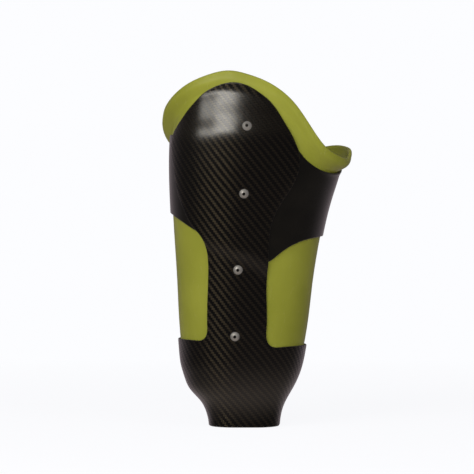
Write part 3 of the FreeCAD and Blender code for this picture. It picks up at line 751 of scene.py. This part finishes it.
def end_pad():
    """The soft pad in the bottom of the socket: the CAD pad's room, filled by a crowned cushion."""
    bm = merged("distal_end_pad")
    floor_z, top_z = (pick(v.co.z for v in bm.verts) for pick in (min, max))
    heights = np.linspace(floor_z + PAD_END, top_z - PAD_END, PAD_LEVELS)
    wall = outer_radii(bm, heights, -1.0)
    bm.free()
    wall = fill_open(wall, PAD_FILL_PASSES) - PAD_CLEARANCE
    rim = top_z - PAD_CROWN
    # (height, inset) up the side, then over the shoulder
    rows = [(heights[0] + (rim - PAD_SHOULDER - heights[0]) * t, 0.0)
            for t in np.linspace(0, 1, PAD_SIDE_ROWS + 1)[1:]]
    for t in np.linspace(0, math.pi / 2, PAD_SHOULDER_ROWS + 1)[1:]:
        rows.append((rim - PAD_SHOULDER * (1 - math.sin(t)), PAD_SHOULDER * (1 - math.cos(t))))
    verts, faces = [(0.0, 0.0, heights[0])], []
    count = PAD_COLUMNS
    columns = 2 * math.pi * np.arange(count) / count
    picks = (columns / (2 * math.pi) * ANGLE_COUNT).astype(int)
    for z, inset in rows:
        level = np.clip((z - heights[0]) / (heights[1] - heights[0]), 0, len(heights) - 1.001)
        j = int(level)
        r = wall[j, picks] * (1 - level + j) + wall[j + 1, picks] * (level - j) - inset
        verts += [(r[i] * math.cos(columns[i]), r[i] * math.sin(columns[i]), z) for i in range(count)]
    edge = np.array(verts[-count:])
    for t in np.linspace(1, 0, PAD_CROWN_ROWS + 2)[1:-1]:
        z = rim + PAD_CROWN * (1 - t ** 2)
        verts += [(x * t, y * t, z) for x, y, _ in edge]
    verts.append((0.0, 0.0, rim + PAD_CROWN))
    ring_count = (len(verts) - 2) // count
    for i in range(count):
        k = (i + 1) % count
        faces.append((0, 1 + k, 1 + i))
        for j in range(ring_count - 1):
            a, b = 1 + j * count, 1 + (j + 1) * count
            faces.append((a + i, a + k, b + k, b + i))
        last = 1 + (ring_count - 1) * count
        faces.append((last + i, last + k, len(verts) - 1))
    mesh = bpy.data.meshes.new("end_pad")
    mesh.from_pydata(verts, [], faces)
    mesh.polygons.foreach_set("use_smooth", [True] * len(mesh.polygons))
    mesh.materials.append(finishes["soft_pad"])
    piece = bpy.data.objects.new("end_pad", mesh)
    bpy.context.scene.collection.objects.link(piece)
    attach(piece, "socket")
    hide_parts("distal_end_pad")


finish_cad_nodes()
end_pad()
washers = sorted(node for node in nodes if "washer" in node)
make_shell("frame_shell", "carbon_frame", skins["carbon_frame"], twill, washers)
make_shell("band_shell", "proximal_band", skins["proximal_band"], smooth_carbon)


# ---------------------------------------------------------------- studio

def area_light(name, place, aim, width, height, power, colour, roll=0):
    light = bpy.data.lights.new(name, "AREA")
    light.shape = "RECTANGLE"
    light.size, light.size_y = width, height
    light.energy = power
    light.color = colour
    item = bpy.data.objects.new(name, light)
    item.location = place
    turn = (Vector(aim) - Vector(place)).to_track_quat("-Z", "Y")
    item.rotation_euler = (turn @ Quaternion((0, 0, 1), math.radians(roll))).to_euler()
    bpy.context.scene.collection.objects.link(item)
    return item


def glow(tree, direction, axis, start, end, colour, under):
    """Adds light that grows with the direction's component along an axis, over a plain or made colour."""
    ramp = tree.nodes.new("ShaderNodeMapRange")
    ramp.inputs["From Min"].default_value, ramp.inputs["From Max"].default_value = start, end
    tree.links.new(direction.outputs[axis], ramp.inputs["Value"])
    add = tree.nodes.new("ShaderNodeMix")
    add.data_type, add.blend_type = "RGBA", "ADD"
    tree.links.new(ramp.outputs["Result"], add.inputs["Factor"])
    first, second = [socket for socket in add.inputs if socket.type == "RGBA"]
    if isinstance(under, tuple):
        first.default_value = (*under, 1)
    else:
        tree.links.new(under, first)
    second.default_value = (*colour, 1)
    return [socket for socket in add.outputs if socket.type == "RGBA"][0]


def studio_world():
    """White behind the object; what lights it is a dim room, brighter behind it and from below."""
    world = bpy.data.worlds.new("studio")
    world.use_nodes = True
    tree = world.node_tree
    direction = tree.nodes.new("ShaderNodeSeparateXYZ")
    tree.links.new(tree.nodes.new("ShaderNodeTexCoord").outputs["Generated"], direction.inputs[0])
    room = glow(tree, direction, "Y", 0.2, 0.9, (0.24, 0.195, 0.21), (0.085, 0.078, 0.080))
    room = glow(tree, direction, "Z", -0.25, -0.9, (0.46, 0.39, 0.34), room)
    mixer = tree.nodes.new("ShaderNodeMix")
    mixer.data_type = "RGBA"
    path = tree.nodes.new("ShaderNodeLightPath")
    tree.links.new(path.outputs["Is Camera Ray"], mixer.inputs["Factor"])
    dim, white = [socket for socket in mixer.inputs if socket.type == "RGBA"]
    tree.links.new(room, dim)
    white.default_value = (*PAPER_WHITE, 1)
    mixed = [socket for socket in mixer.outputs if socket.type == "RGBA"][0]
    tree.links.new(mixed, tree.nodes["Background"].inputs["Color"])
    bpy.context.scene.world = world


def paper_floor():
    """A pale floor that takes the contact shadow and fades into the background."""
    mesh = bpy.data.meshes.new("floor")
    corners = [(FLOOR_REACH * x, FLOOR_REACH * y, 0) for x, y in ((-1, -1), (1, -1), (1, 1), (-1, 1))]
    mesh.from_pydata(corners, [], [(0, 1, 2, 3)])
    floor = bpy.data.objects.new("floor", mesh)
    floor.location.z = -FLOOR_DROP
    bpy.context.scene.collection.objects.link(floor)
    paper = Nodes("floor_paper")
    away = paper.ramp(paper.vector("LENGTH", paper.place(), output=1), 0.3, 1.1)
    paper.set(Base_Color=paper.blend(away, (0.09, 0.09, 0.095), (0, 0, 0)), Roughness=0.9,
              Specular_IOR_Level=0.0, Emission_Color=PAPER_WHITE,
              Emission_Strength=paper.ramp(away, 0.0, 1.0, 0.93, 1.0))
    mesh.materials.append(paper.material)
    # it neither lights the laminate nor is mirrored in it
    floor.visible_diffuse = False
    floor.visible_glossy = False


def side_camera():
    """The photograph's view: square on to the lateral side, from far off."""
    data = bpy.data.cameras.new("camera")
    data.lens = SENSOR_WIDTH * CAMERA_DISTANCE / VIEW_WIDTH
    camera = bpy.data.objects.new("camera", data)
    camera.location = (VIEW_CENTRE[0], -CAMERA_DISTANCE, VIEW_CENTRE[1])
    camera.rotation_euler = (math.pi / 2, 0, 0)
    bpy.context.scene.collection.objects.link(camera)
    bpy.context.scene.camera = camera


bpy.context.scene.view_settings.view_transform = "Standard"
area_light("key", (-1.03, -1.65, 1.43), (0, 0, 0.26), 0.78, 0.46, 14.5, (1.0, 0.97, 0.90), 10)
area_light("key_wide", (-1.66, -1.25, 1.17), (0, 0, 0.26), 0.95, 0.40, 8.5, (1.0, 0.97, 0.90), 6)
fill = area_light("fill", (1.5, -1.7, 0.9), (0, 0, 0.2), 1.5, 1.5, 19, (1.0, 0.98, 1.0))
front = area_light("front", (-0.5, -2.2, 0.5), (0, 0, 0.2), 2.0, 1.5, 44, (1.0, 0.99, 0.97))
for light in (fill, front):
    light.visible_glossy = False        # they lift the colours without a second highlight
studio_world()
paper_floor()
side_camera()
